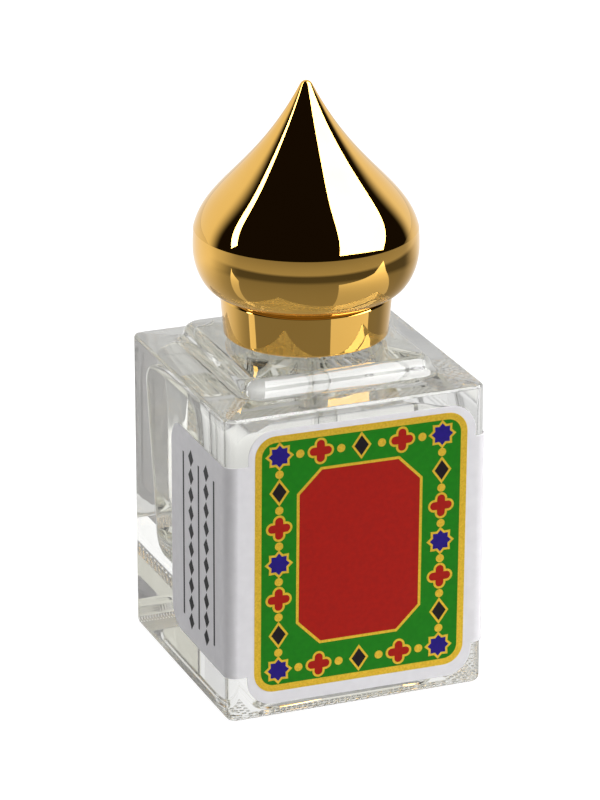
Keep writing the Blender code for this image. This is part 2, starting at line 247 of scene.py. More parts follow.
def addMath(nodes, kind, second=None):
    return addNode(nodes, "Math", {"operation": kind}, second)


def mixTones(nodes, first=None, second=None):
    mixed = addNode(nodes, "Mix", {"data_type": "RGBA"})
    for socket, tone in (("A", first), ("B", second)):
        if tone:
            mixed.inputs[socket].default_value = (*tone, 1)
    return mixed


def fadeIn(nodes, start, end):
    return addNode(nodes, "MapRange", {"interpolation_type": "SMOOTHSTEP"},
                   From_Min=start, From_Max=end)


def wire(links, *runs):
    # Links each run's first node and output to its second node and input
    for source, output, target, socket in runs:
        links.new(source.outputs[output], target.inputs[socket])


def makeGrain():
    # Soft cloudy noise between two values, for the colour, gloss and relief of every finish
    grain = bpy.data.node_groups.new("softGrain", "ShaderNodeTree")
    for socket in ("Scale", "Detail", "Low", "High"):
        grain.interface.new_socket(socket, in_out="INPUT", socket_type="NodeSocketFloat")
    grain.interface.new_socket("Value", in_out="OUTPUT", socket_type="NodeSocketFloat")
    nodes = grain.nodes
    given, result = nodes.new("NodeGroupInput"), nodes.new("NodeGroupOutput")
    where, noise = addNode(nodes, "TexCoord"), addNode(nodes, "TexNoise")
    spread = addNode(nodes, "MapRange", From_Min=noiseSet["from"], From_Max=noiseSet["to"])
    wire(grain.links, (where, "Object", noise, "Vector"), (given, "Scale", noise, "Scale"),
         (given, "Detail", noise, "Detail"), (noise, "Fac", spread, "Value"),
         (given, "Low", spread, "To Min"), (given, "High", spread, "To Max"),
         (spread, "Result", result, "Value"))
    return grain


def addGrain(nodes, low, high, scale, detail=noiseSet["detail"]):
    node = nodes.new("ShaderNodeGroup")
    node.node_tree = grain
    setSockets(node, {"Low": low, "High": high, "Scale": scale, "Detail": detail})
    return node


def makeFinish(name, look, **sockets):
    # A finish whose colour, gloss and relief vary softly over the surface
    made, nodes, links, shader = newMaterial(name, **sockets)
    tone = mixTones(nodes, look["colour"], look["second"])
    clouds = addGrain(nodes, 0, 1, look["scale"])
    gloss = addGrain(nodes, *look["rough"], look["scale"] * noiseSet["glossShare"])
    relief = addGrain(nodes, 0, 1, look["reliefScale"], noiseSet["reliefDetail"])
    bump = addNode(nodes, "Bump", Strength=look["relief"], Distance=look["depth"])
    wire(links, (clouds, "Value", tone, "Factor"), (tone, "Result", shader, "Base Color"),
         (gloss, "Value", shader, "Roughness"), (relief, "Value", bump, "Height"),
         (bump, "Normal", shader, "Normal"))
    return made


grain = makeGrain()


# Camera

cameraSet = {"azimuth": -21.77, "elevation": 20.85, "lens": 192.0, "distance": 0.4534,
             "sideways": -0.00062, "upwards": 0.02664, "clip": 0.01}


def makeCamera():
    turn = math.radians(cameraSet["azimuth"])
    lift = math.radians(cameraSet["elevation"])
    level = math.cos(lift)
    back = Vector((math.sin(turn) * level, -math.cos(turn) * level, math.sin(lift)))
    right = Vector((math.cos(turn), math.sin(turn), 0))
    up = back.cross(right)
    place = right * cameraSet["sideways"] + up * cameraSet["upwards"] + back * cameraSet["distance"]
    aim = (-back).to_track_quat("-Z", "Y").to_euler()
    bpy.ops.object.camera_add(location=place, rotation=aim)
    camera = bpy.context.active_object
    camera.data.lens = cameraSet["lens"]
    camera.data.clip_start = cameraSet["clip"]
    bpy.context.scene.camera = camera
    print("camera placed")


# Studio: two softboxes, a glow behind, a dark room in front, and a glossy white table

# Rays that have gone through glass see clearRoom, those from matt faces softRoom, and all others
# darkRoom. The table's glow is painted light and shade whose tones go by the distance from the
# bottle, in metres, with a painted dark ring round it

studioSet = {
    "key": {"foot": (0.351, -0.365, 0.15), "along": (1.003, -0.0375, 0), "rise": (0.187, 0.960, 1),
            "width": 0.62, "length": 0.66, "radiance": 8.0, "paperRadiance": 7.3},
    "strip": {"foot": (-0.49, 0.086, 0.15), "along": (0.94, -0.33, 0), "rise": (0.133, 0.418, 1),
              "width": 0.285, "length": 0.62, "radiance": 8.0, "paperRadiance": 8.0},
    "darkRoom": (0.008, 0.006, 0.004), "clearRoom": (0.745, 0.735, 0.645),
    "softRoom": (0.32, 0.32, 0.315), "frontRoom": (0.14, 0.145, 0.15),
    "frontAxis": (-0.33, -0.85, 0.40), "frontStart": 0.80, "frontEnd": 0.92,
    "glowAxis": (0.2, 0.98, 0.0), "glowStart": 0.30, "glowEnd": 0.60, "glow": 0.90,
    # The table's painted light and shade: how brightly it glows at each distance from the bottle
    "tablePaintedTones": ((0.0, 0.30), (0.10, 0.25), (0.125, 0.10), (0.16, 0.10), (0.175, 0.5)),
    "tableReach": 0.25, "tableSize": 6, "tableFade": 0.12, "tableClear": 0.45, "tableBack": 1.0,
    "tableGloss": 0.03, "tableIor": 1.49, "tableSeen": 0.9, "tableShade": 0.25,
    "tableGap": 0.05 * mm
}


def addSoftbox(name, box):
    along = Vector(box["along"]).normalized()
    rise = Vector(box["rise"]).normalized()
    facing = along.cross(rise)
    middle = Vector(box["foot"]) + rise * box["length"] / 2
    if facing.dot(middle) < 0:
        facing = -facing
    turn = Matrix((along, facing.cross(along), facing)).transposed()
    # One lamp is what the gold and glass mirror, and one in its place lights the paper
    for forPaper in (False, True):
        bpy.ops.object.light_add(type="AREA", location=middle, rotation=turn.to_euler())
        lamp = bpy.context.active_object
        lamp.name = name + ("Paper" if forPaper else "Mirrored")
        lamp.data.shape = "RECTANGLE"
        lamp.data.size = box["width"]
        lamp.data.size_y = box["length"]
        radiance = box["paperRadiance" if forPaper else "radiance"]
        lamp.data.energy = radiance * math.pi * box["width"] * box["length"]
        lamp.visible_diffuse = forPaper
        lamp.visible_glossy = not forPaper
        lamp.visible_transmission = False


def turnedTo(nodes, links, where, axis, start, end):
    # Fades in where a ray's direction turns towards the axis
    dot = addNode(nodes, "VectorMath", {"operation": "DOT_PRODUCT"}, Vector(axis).normalized())
    fade = fadeIn(nodes, start, end)
    wire(links, (where, "Generated", dot, 0), (dot, "Value", fade, "Value"))
    return fade


def makeWorld():
    # White for the camera. Other rays see a glow behind, and in front a room whose tone goes by ray
    s = studioSet
    world = bpy.data.worlds.new("studio")
    bpy.context.scene.world = world
    world.use_nodes = True
    nodes, links = world.node_tree.nodes, world.node_tree.links
    nodes.clear()
    out, rays, where = [addNode(nodes, kind) for kind in ("OutputWorld", "LightPath", "TexCoord")]
    back = addNode(nodes, "Background")
    behind = turnedTo(nodes, links, where, s["glowAxis"], s["glowStart"], s["glowEnd"])
    ahead = turnedTo(nodes, links, where, s["frontAxis"], s["frontStart"], s["frontEnd"])
    clear = mixTones(nodes, s["clearRoom"], s["frontRoom"])
    room = mixTones(nodes, s["darkRoom"])
    soft = mixTones(nodes, None, s["softRoom"])
    tone = mixTones(nodes, None, (s["glow"],) * 3)
    seen = mixTones(nodes, None, (1, 1, 1))
    wire(links, (ahead, "Result", clear, "Factor"), (clear, "Result", room, "B"),
         (rays, "Is Transmission Ray", room, "Factor"), (room, "Result", soft, "A"),
         (rays, "Is Diffuse Ray", soft, "Factor"), (soft, "Result", tone, "A"),
         (behind, "Result", tone, "Factor"), (tone, "Result", seen, "A"),
         (rays, "Is Camera Ray", seen, "Factor"), (seen, "Result", back, "Color"),
         (back, "Background", out, "Surface"))


def makeTable():
    # White and softly shaded for the camera. Other rays see a coat of gloss on a glow of painted
    # light and shade, dim near the bottle and white far behind it
    s = studioSet
    bpy.ops.mesh.primitive_plane_add(size=s["tableSize"], location=(0, 0, -s["tableGap"]))
    table = placePiece("table")
    made, nodes, links, shader = newMaterial("table_white")
    nodes.remove(shader)
    out = nodes["Material Output"]
    rays, where, split = [addNode(nodes, kind) for kind in ("LightPath", "TexCoord", "SeparateXYZ")]
    behind = fadeIn(nodes, 0.0, s["tableFade"])
    away = addNode(nodes, "VectorMath", {"operation": "LENGTH"})
    reach = addMath(nodes, "DIVIDE", s["tableReach"])
    # Painted light and shade: the glow's tones by the distance from the bottle, darkest in a ring
    # round it
    paintedTones = addNode(nodes, "ValToRGB")
    ramp = paintedTones.color_ramp
    for index, (distance, tone) in enumerate(s["tablePaintedTones"]):
        stop = ramp.elements[index] if index < 2 else ramp.elements.new(1)
        stop.position = distance / s["tableReach"]
        stop.color = (tone, tone, tone, 1)
    lifted = addNode(nodes, "Mix", B=s["tableClear"])
    level = addNode(nodes, "Mix", B=s["tableBack"])
    glow, white = addNode(nodes, "Emission"), addNode(nodes, "Emission", Strength=s["tableSeen"])
    gloss = addNode(nodes, "BsdfGlossy", Roughness=s["tableGloss"])
    fresnel = addNode(nodes, "Fresnel", IOR=s["tableIor"])
    shade = addNode(nodes, "BsdfDiffuse", Color=(s["tableShade"],) * 3 + (1,))
    coat, pick, lit = [addNode(nodes, kind) for kind in ("MixShader", "MixShader", "AddShader")]
    wire(links, (where, "Object", split, 0), (where, "Object", away, 0),
         (split, "Y", behind, "Value"), (away, "Value", reach, 0), (reach, 0, paintedTones, "Fac"),
         (paintedTones, "Color", lifted, "A"),
         (rays, "Is Transmission Ray", lifted, "Factor"), (lifted, "Result", level, "A"),
         (behind, "Result", level, "Factor"), (level, "Result", glow, "Strength"),
         (fresnel, 0, coat, "Fac"), (glow, 0, coat, 1), (gloss, 0, coat, 2), (white, 0, lit, 0),
         (shade, 0, lit, 1), (rays, "Is Camera Ray", pick, "Fac"), (coat, 0, pick, 1),
         (lit, 0, pick, 2), (pick, 0, out, "Surface"))
    table.data.materials.append(made)


def makeStudio():
    for name in ("key", "strip"):
        addSoftbox(name, studioSet[name])
    makeWorld()
    makeTable()
    print("studio lit")


# Gold shells

goldSet = {"colour": (0.93, 0.55, 0.13), "second": (0.91, 0.53, 0.12), "rough": (0.010, 0.022),
           "scale": 260, "reliefScale": 420, "relief": 0.05, "depth": 0.004 * mm}

# Both shells are in mm. Names in Start, End, Below and Above are how far a curve's handles reach

domeSet = {"seam": 47.605, "crease": 11.57, "tip": 63.1, "tipFoot": (0.62, 62.72),
           "wallFoot": 10.8, "hollowTop": 60.2, "creaseHandle": (10.43, 52.10),
           "tipHandle": (5.27, 53.72), "pointStart": (0.14, 0.24), "pointEnd": 0.26,
           "roofEnd": (0.35, 0.3), "wallStart": (1.2, 4.2)}

bowlSet = {"seam": 47.595, "bore": 7.95, "bottom": 36.3, "edge": 0.2, "skirt": 8.55,
           "skirtTop": 8.9, "grooveLow": 40.48, "groove": 8.74, "grooveHigh": 40.98,
           "widest": 11.65, "widestHeight": 45.6, "crease": 11.55, "spigot": 10.15,
           "spigotBore": 9.55, "spigotTop": 48.4, "ledge": 42.2, "bowlStart": (1.65, 0.05),
           "bowlBelow": 2.1, "bowlAbove": 0.9, "creaseEnd": (0.05, 0.5)}


def makeDome(gold):
    # Down the inside from the top of the hollow, and up the outside from the crease to the tip
    d = domeSet
    end, tip, foot, top = d["tipFoot"], d["tip"], (d["wallFoot"], d["seam"]), d["hollowTop"]
    points = [(0, top, None, (d["roofEnd"][0], top - d["roofEnd"][1])),
              (*foot, (foot[0] - d["wallStart"][0], foot[1] + d["wallStart"][1]), None),
              (d["crease"], d["seam"], None, d["creaseHandle"]),
              (*end, d["tipHandle"], (end[0] - d["pointStart"][0], end[1] + d["pointStart"][1])),
              (0, tip, (d["pointEnd"], tip), None)]
    dress(spinProfile("domeShell", points), "cap", "gold", "dome_shell", [gold])


def makeBowl(gold):
    # Down the skirt's bore, round its foot, up the outside to the crease, and in over the spigot
    b = bowlSet
    bore, skirt, edge, bottom = b["bore"], b["skirt"], b["edge"], b["bottom"]
    low, groove = bottom + edge, (b["grooveLow"] + b["grooveHigh"]) / 2
    start, end = (b["skirtTop"], b["grooveHigh"]), (b["crease"], b["seam"])
    widest, height = b["widest"], b["widestHeight"]
    points = [(bore, b["ledge"]), *roundOff((bore, low), (bore, bottom), (bore + edge, bottom)),
              *roundOff((skirt - edge, bottom), (skirt, bottom), (skirt, low)),
              (b["skirtTop"], b["grooveLow"]), (b["groove"], groove),
              (*start, None, (start[0] + b["bowlStart"][0], start[1] + b["bowlStart"][1])),
              (widest, height, (widest, height - b["bowlBelow"]),
               (widest, height + b["bowlAbove"])),
              (*end, (end[0] + b["creaseEnd"][0], end[1] - b["creaseEnd"][1]), None),
              (b["spigot"], b["seam"]), (b["spigot"], b["spigotTop"]),
              (b["spigotBore"], b["spigotTop"]), (b["spigotBore"], b["ledge"])]
    dress(spinProfile("capBowl", points), "cap", "gold", "cap_bowl", [gold])


# Glass bottle

# footReach, boreSkin and aboveRecess are slacks by which a line or a face is picked by its place

glassSet = {"half": 14.15 * mm, "corner": 1.1 * mm, "height": 33.1 * mm, "rise": 0.5 * mm,
            "brow": 0.3 * mm, "browBelow": 0.1 * mm, "heel": 0.7 * mm,
            "plinthHalf": 10.55 * mm, "plinthTop": 35.4 * mm, "plinthCorner": 1.9 * mm,
            "plinthTaper": 0.955, "plinthFoot": 10.3 * mm, "footReach": (0.7 * mm, 0.3 * mm),
            "plinthFillet": 0.8 * mm, "plinthRound": 0.95 * mm,
            "crown": ((0.86, -0.14 * mm), (0.84, -0.12 * mm), (0.8, -0.09 * mm)),
            "neck": 5.75 * mm, "neckFoot": 35.6 * mm, "neckFillet": 1.1 * mm, "lip": 46.3 * mm,
            "lipRound": 0.4 * mm, "threadCrest": 6.5 * mm, "threadLow": 39.9 * mm, "threadTurns": 2,
            "bore": 4.2 * mm, "boreSkin": 0.5 * mm, "throat": 2.0 * mm,
            "cavityHalf": 12.62 * mm, "cavityCorner": 2.8 * mm, "cavityTaper": 0.83,
            "floor": 9.6 * mm, "floorRadius": 2.2 * mm, "ceiling": 30.6 * mm,
            "roofRadius": 2.6 * mm,
            "roofRise": ((0.88, -0.15 * mm), (0.88, -0.055 * mm), (0.88, -0.015 * mm),
                         (0.85, -0.005 * mm)),
            "dish": ((0.85, 0.06 * mm), (0.75, 0.14 * mm), (0.6, 0.16 * mm), (0.4, 0.10 * mm),
                     (0.3, 0.04 * mm)),
            "recessHalf": 9.95 * mm, "recessDepth": 0.5 * mm, "recessRound": 0.3 * mm,
            "recessCorner": 2.6 * mm, "recessTaper": 1.06, "aboveRecess": 5 * mm,
            "sides": 96, "cornerSteps": 16, "bevelSteps": 8, "cavitySteps": 24, "floorSteps": 12,
            "roofSteps": 16, "recessSteps": 12, "recessRoundSteps": 4,
            "ior": 1.52, "tints": ((0.990, 0.991, 0.974), (0.981, 0.983, 0.960))}

# A thread's ridge sinks over its last steps, runOut of them, to the share endHeight of its height

threadSet = {"pitch": 2.1 * mm, "rootWidth": 1.2 * mm, "crestWidth": 0.5 * mm, "steps": 64,
             "runOut": 8, "endHeight": 0.1, "sunk": 0.4 * mm}

# wallEnd and levelStart are how far the handles of the meniscus reach, in mm and as a share of climb

oilSet = {"gap": 0.02 * mm, "level": 34.6 * mm, "climb": 0.4 * mm, "meniscus": 1.2 * mm,
          "wallEnd": (0.08, 0.3), "levelStart": 0.5, "well": 1.55 * mm, "wellFloor": 11.3 * mm,
          "upward": 0.3, "ior": 1.46, "surfaceTints": ((1, 1, 1), (0.99, 0.985, 0.96)),
          "insideIor": 1.0, "insideTints": ((1, 1, 1), (0.995, 0.99, 0.98))}

# Painted shade: a dark tint mixed into every glass finish where it is seen at a grazing angle
paintedRimShade = {"blend": 0.5, "from": 0.82, "to": 0.97, "colour": (0.12, 0.115, 0.14)}

stippleSet = {"pitch": 1.2 * mm, "inner": 10.9 * mm, "top": 0.30 * mm, "fade": 0.15 * mm,
              "depth": 0.25 * mm}


def makeGlassFinish(name, ior, tints):
    # Clear and faintly clouded, with painted shade that darkens it where it is seen at a grazing
    # angle
    made, nodes, links, shader = newMaterial(name, Roughness=0, IOR=ior, Transmission_Weight=1)
    clouds, tone = addGrain(nodes, 0, 1, noiseSet["tintScale"]), mixTones(nodes, *tints)
    facing = addNode(nodes, "LayerWeight", Blend=paintedRimShade["blend"])
    turned = fadeIn(nodes, paintedRimShade["from"], paintedRimShade["to"])
    paintedRim = mixTones(nodes, None, paintedRimShade["colour"])
    wire(links, (clouds, "Value", tone, "Factor"), (facing, "Facing", turned, "Value"),
         (turned, "Result", paintedRim, "Factor"), (tone, "Result", paintedRim, "A"),
         (paintedRim, "Result", shader, "Base Color"))
    return made


def stippleFoot(made):
    # Rows of small studs round the foot, on which the bottle stands
    s = stippleSet
    nodes, links = made.node_tree.nodes, made.node_tree.links
    where, split = addNode(nodes, "TexCoord"), addNode(nodes, "SeparateXYZ")
    studs, onRing, height = [addMath(nodes, "MULTIPLY") for part in range(3)]
    outer = addMath(nodes, "MAXIMUM")
    ring = addNode(nodes, "MapRange", From_Min=s["inner"], From_Max=s["inner"] + s["fade"])
    low = addNode(nodes, "MapRange", From_Min=s["top"] + s["fade"], From_Max=s["top"])
    bump = addNode(nodes, "Bump", Strength=1.0, Distance=s["depth"])
    for index, axis in enumerate("XY"):
        turn = addMath(nodes, "MULTIPLY", 4 * quarter / s["pitch"])
        wave, width = addMath(nodes, "SINE"), addMath(nodes, "ABSOLUTE")
        wire(links, (split, axis, turn, 0), (turn, 0, wave, 0), (split, axis, width, 0),
             (wave, 0, studs, index), (width, 0, outer, index))
    wire(links, (where, "Object", split, 0), (outer, 0, ring, "Value"), (split, "Z", low, "Value"),
         (ring, "Result", onRing, 0), (low, "Result", onRing, 1), (studs, 0, height, 0),
         (onRing, 0, height, 1), (height, 0, bump, "Height"),
         (bump, "Normal", nodes["Principled BSDF"], "Normal"))


def cutRoof(piece):
    # Four sloping cuts that make the shoulder's low hip roof
    g = glassSet
    ledge = g["half"] - g["plinthHalf"]
    for side in range(4):
        out = Matrix.Rotation(quarter * side, 3, "Z") @ Vector((1, 0, 0))
        normal = Vector((out.x * g["rise"], out.y * g["rise"], ledge)).normalized()
        cutAcross(piece, out * g["half"] + Vector((0, 0, g["height"])), normal,
                  use_fill=True, clear_outer=True)


def insetFace(piece, test, width):
    pickParts(piece, "FACE", test)
    bpy.ops.mesh.inset(thickness=width, depth=0)
    objectMode()


def sinkFace(piece, test, steps):
    # Draws the faces in towards the Z axis, each step to a share of their width and down by a depth
    pickParts(piece, "FACE", test)
    for share, depth in steps:
        bpy.ops.mesh.extrude_region_move(TRANSFORM_OT_translate={"value": (0, 0, -depth)})
        resizeParts(share, share, 1)
    objectMode()


def makeThread(name, surface, crest, bottom, turns):
    # A screw thread's ridge, whose ends run out into the wall at surface
    t = threadSet
    outward = 1 if crest > surface else -1
    foot = surface - outward * t["sunk"]
    bpy.ops.mesh.primitive_plane_add(size=1, rotation=(quarter, 0, 0))
    ridge = placePiece(name)
    editMode(ridge)
    shape = bmesh.from_edit_mesh(ridge.data)
    for corner in shape.verts:
        onFoot = corner.co.x < 0
        width = t["rootWidth"] if onFoot else t["crestWidth"]
        corner.co = (foot if onFoot else crest, 0, bottom + math.copysign(width / 2, corner.co.z))
    bmesh.update_edit_mesh(ridge.data)
    bpy.ops.mesh.select_all(action="SELECT")
    bpy.ops.mesh.delete(type="ONLY_FACE")
    objectMode()
    laps = round(turns * t["steps"])
    applyModifier(ridge, "SCREW", angle=turns * 4 * quarter, screw_offset=turns * t["pitch"],
                  steps=laps, render_steps=laps, axis="Z")
    ends = [math.hypot(v.co.x, v.co.y) for v in ridge.data.vertices]
    for index, corner in enumerate(ridge.data.vertices):
        step = index // 4
        share = min(1, step / t["runOut"], (laps - step) / t["runOut"])
        if near(ends[index], crest):
            height = t["endHeight"] + (1 - t["endHeight"]) * share
            corner.co.xy *= (foot + (crest - foot) * height) / crest
    editMode(ridge, "SELECT")
    bpy.ops.mesh.region_to_loop()
    bpy.ops.mesh.edge_face_add()
    bpy.ops.mesh.select_all(action="SELECT")
    bpy.ops.mesh.normals_make_consistent(inside=False)
    objectMode()
    return ridge


def taperEnd(piece, level, share):
    # Draws the end at that height in or out, so that the sides slope
    pickParts(piece, "VERT", atHeight(level))
    resizeParts(share, share, 1)
    objectMode()


def neckBar():
    # The neck's solid, from inside the plinth to the lip, with its thread and the curve at its foot
    g = glassSet
    radius, foot, lip = g["neck"] / mm, g["neckFoot"] / mm, g["lip"] / mm
    wide, edge, below = g["neckFillet"] / mm, g["lipRound"] / mm, foot - toolSet["past"]
    points = [(0, below), (radius + wide, below),
              *roundOff((radius + wide, foot), (radius, foot), (radius, foot + wide)),
              *roundOff((radius, lip - edge), (radius, lip), (radius - edge, lip)), (0, lip)]
    neck = spinProfile("neck", points, g["sides"])
    thread = makeThread("neckThread", g["neck"], g["threadCrest"], g["threadLow"], g["threadTurns"])
    applyBoolean(neck, thread, "UNION")
    return neck


def throatPoints(gap):
    # The outline of the throat that opens into the hollow
    g = glassSet
    rise = -sum(depth for share, depth in g["roofRise"])
    radius, wide = (g["bore"] - gap) / mm, g["throat"] / mm
    ceiling = (g["ceiling"] + rise - gap) / mm
    below = ceiling - toolSet["past"]
    return [(0, below), (radius + wide, below),
            *roundOff((radius + wide, ceiling), (radius, ceiling), (radius, ceiling + wide))]


def boreBar():
    # What the bore takes out, with a rounded lip
    g = glassSet
    radius, lip, edge = g["bore"] / mm, g["lip"] / mm, g["lipRound"] / mm
    above = lip + toolSet["past"]
    points = [*throatPoints(0),
              *roundOff((radius, lip - edge), (radius, lip), (radius + edge, lip)),
              (radius + edge, above), (0, above)]
    return spinProfile("bore", points, g["sides"])


def hollowBox(name, gap):
    # The square part of the hollow, narrower at its floor, and smaller all round by the gap
    g = glassSet
    low, high = g["floor"] + gap, g["ceiling"] - gap
    box = roundedBox(name, g["cavityHalf"] - gap, low, high, g["cavityCorner"] - gap,
                     g["cavitySteps"])
    taperEnd(box, low, g["cavityTaper"])
    bevelEdges(box, atHeight(low), g["floorRadius"], g["floorSteps"])
    bevelEdges(box, atHeight(high), g["roofRadius"], g["roofSteps"])
    sinkFace(box, atHeight(low), g["dish"])
    sinkFace(box, atHeight(high), g["roofRise"])
    return box


def makeHollow():
    # The hollow of the bottle: square below, with a round throat, and an edge at the oil's level
    hollow = hollowBox("hollow", 0)
    applyBoolean(hollow, boreBar(), "UNION")
    cutAcross(hollow, (0, 0, oilSet["level"] + oilSet["climb"]), (0, 0, 1))
    return hollow


def makePlinth():
    g = glassSet
    plinth = roundedBox("plinth", g["plinthHalf"], g["height"], g["plinthTop"], g["plinthCorner"],
                        g["cornerSteps"])
    taperEnd(plinth, g["plinthTop"], g["plinthTaper"])
    bevelEdges(plinth, atHeight(g["plinthTop"]), g["plinthRound"], g["bevelSteps"])
    sinkFace(plinth, atHeight(g["plinthTop"]), g["crown"])
    return plinth


def makeBottle(glass, wetGlass):
    # Each solid is rounded by itself before it is joined to the body or cut from it
    g = glassSet
    foot, steps, deep = g["height"] + g["rise"], g["bevelSteps"], g["recessDepth"]
    across, upward = g["footReach"]
    onBody = onSquare(g["half"], g["corner"])

    def onBrow(ends):
        return all(c.z > g["height"] - g["browBelow"] and onBody(c) for c in ends)

    def onPlinthFoot(ends):
        return all(near(c.z, foot, upward) and
                   near(max(abs(c.x), abs(c.y)), g["plinthFoot"], across) for c in ends)

    def onHip(ends):
        return all(g["height"] < c.z < foot + upward and near(abs(c.x), abs(c.y)) for c in ends)

    body = roundedBox("glassBottle", g["half"], 0, g["plinthTop"], g["corner"], g["cornerSteps"])
    bevelEdges(body, atHeight(0, onBody), g["heel"], steps)
    cutRoof(body)
    bevelEdges(body, onBrow, g["brow"], steps)
    applyBoolean(body, makePlinth(), "UNION")
    bevelEdges(body, onPlinthFoot, g["plinthFillet"], steps)
    applyBoolean(body, neckBar(), "UNION")
    recess = roundedBox("recess", g["recessHalf"], -deep, deep, g["recessCorner"], g["recessSteps"])
    taperEnd(recess, -deep, g["recessTaper"])
    bevelEdges(recess, atHeight(deep), g["recessRound"], g["recessRoundSteps"])
    applyBoolean(body, recess, "DIFFERENCE")
    applyBoolean(body, makeHollow(), "DIFFERENCE")
    pickParts(body, "EDGE", onHip)
    bpy.ops.mesh.mark_sharp()
    objectMode()
    dress(body, "bottle", "clear_glass", "glass_bottle", [glass, wetGlass])
    top = oilSet["level"] + oilSet["climb"]
    for face in body.data.polygons:
        x, y, z = face.center
        wide = max(abs(x), abs(y))
        inBox = z < g["ceiling"] + g["throat"] and wide < g["cavityHalf"] + toolSet["near"]
        inBore = math.hypot(x, y) < g["neck"] - g["boreSkin"] and z < top
        face.material_index = int(z > g["aboveRecess"] and (inBox or inBore))


def makeOil(surface, inside):
    # The sides and floor touch the glass, so only the surface in the bore bends light
    g, o = glassSet, oilSet
    radius, level, climb = (g["bore"] - o["gap"]) / mm, o["level"] / mm, o["climb"] / mm
    inner, (back, share) = radius - o["meniscus"] / mm, o["wallEnd"]
    oil = hollowBox("perfumeOil", o["gap"])
    points = [*throatPoints(o["gap"]),
              (radius, level + climb, None, (radius - back, level + climb * share)),
              (inner, level, (inner + o["levelStart"], level), None), (0, level)]
    applyBoolean(oil, spinProfile("oilNeck", points, g["sides"]), "UNION")
    above = o["level"] + toolSet["past"] * mm
    well = roundBar("well", o["well"], o["wellFloor"], above, g["sides"])
    applyBoolean(oil, well, "DIFFERENCE")
    dress(oil, "bottle", "oil", "perfume_oil", [surface, inside])
    for face in oil.data.polygons:
        onTop = face.center.z > o["level"] - toolSet["near"] and face.normal.z > o["upward"]
        face.material_index = 0 if onTop else 1


# Wrap label, printed flat and then wrapped on the bottle's outline. Sizes are in mm, askew is in
# degrees, and a pair of depths is where a layer starts and ends in front of the label's back

labelSet = {"straight": 13.05, "bend": 1.2, "bendRound": 0.4477, "bendCuts": 12,
            "leftEnd": 1.7, "rightEnd": 2.26, "askew": -0.5, "paper": (0, 0.08),
            "panel": (-12.05, 12.83, 1.55, 31.55), "panelCorner": 2.8, "wing": (4.9, 27.95),
            "wingCorner": 2.5, "cornerSteps": 10, "frame": (-11.33, 11.89, 2.89, 30.89),
            "frameCorner": 2.2, "frameWidth": 0.72, "panelRed": (-6.8, 7.0, 7.5, 26.9),
            "panelChamfer": 2.6, "outline": 0.30, "field": (0.07, 0.092),
            "redPlate": (0.085, 0.100)}

motifSet = {"depth": (0.085, 0.106), "outline": 0.24, "sides": (-8.70, 9.10), "ends": (5.2, 28.65),
            "star": 1.55, "starSides": 16, "starWaist": 0.74, "lozenge": 1.5, "squash": 0.72,
            "dot": 0.45, "dotSides": 24, "dotOutline": 0.1,
            "foil": 1.22, "foilSides": 48, "lobe": 0.56, "lobeAway": 0.62}

wingSet = {"rules": (2.4, 6.8, 11.2), "chains": (4.6, 9.0), "ends": (7.2, 25.4), "ruleWidth": 0.38,
           "lozenge": 0.95, "squash": 0.78, "count": 10, "depth": (0.07, 0.086)}

printedInk = {"rough": (0.32, 0.42), "scale": 1800, "reliefScale": 5000, "relief": 0.2,
              "depth": 0.003 * mm}

inkSet = {"paper": {"colour": (0.75, 0.735, 0.765), "second": (0.71, 0.695, 0.725),
                    "rough": (0.38, 0.52), "scale": 900, "reliefScale": 4000, "relief": 0.25,
                    "depth": 0.004 * mm},
          "foil": {"colour": (1.0, 0.66, 0.06), "second": (0.80, 0.50, 0.035),
                   "rough": (0.30, 0.45), "scale": 5000, "reliefScale": 7000, "relief": 0.5,
                   "depth": 0.006 * mm},
          "green": {"colour": (0.009, 0.20, 0.004), "second": (0.006, 0.165, 0.003), **printedInk},
          "red": {"colour": (0.40, 0.0072, 0.002), "second": (0.335, 0.0055, 0.002), **printedInk},
          "navy": {"colour": (0.016, 0.005, 0.20), "second": (0.012, 0.004, 0.16), **printedInk},
          "black": {"colour": (0.006, 0.003, 0.006), "second": (0.009, 0.006, 0.008), **printedInk}}

inkOrder = list(inkSet)

inkSockets = {"paper": {"Specular_IOR_Level": 0.25, "Subsurface_Weight": 0.6,
                        "Subsurface_Scale": 0.3 * mm, "Subsurface_Radius": (1, 1, 1)},
              "foil": {"Metallic": 0.8}, "printed": {"Specular_IOR_Level": 0.2}}


def bendEnd():
    # How far a bend's end is from the middle of the front, along the paper
    return labelSet["straight"] + labelSet["bend"] * quarter


def flatStart():
    # How far the left wing's end is from the middle of the front, along the paper
    return labelSet["straight"] + bendEnd() + labelSet["leftEnd"]


def shifted(edges):
    # The same edges measured from the left wing's end
    return (edges[0] + flatStart(), edges[1] + flatStart(), edges[2], edges[3])


def shareOf(ends, step, steps):
    return ends[0] + (ends[1] - ends[0]) * step / steps


def angleOf(corners):
    # Where a corner of a motif stands round its middle, in degrees
    return math.degrees(math.atan2(corners[0].z, corners[0].x))


def printPlate(piece, depth, ring, ink=None, outline=None):
    # Gives a plate its ink, or a ring of one ink round a middle of another
    front = -depth[1] * mm
    piece.data.materials.clear()
    for name in inkOrder:
        piece.data.materials.append(inks[name])
    if outline:
        insetFace(piece, lambda corners: all(near(c.y, front, toolSet["onFront"]) for c in corners),
                  outline * mm)
    for face in piece.data.polygons:
        face.material_index = inkOrder.index(ring)
    if outline:
        # The front's widest face is the one inside the ring
        facing = [face for face in piece.data.polygons if face.normal.y < -toolSet["facing"]]
        max(facing, key=lambda face: face.area).material_index = inkOrder.index(ink)
    return piece


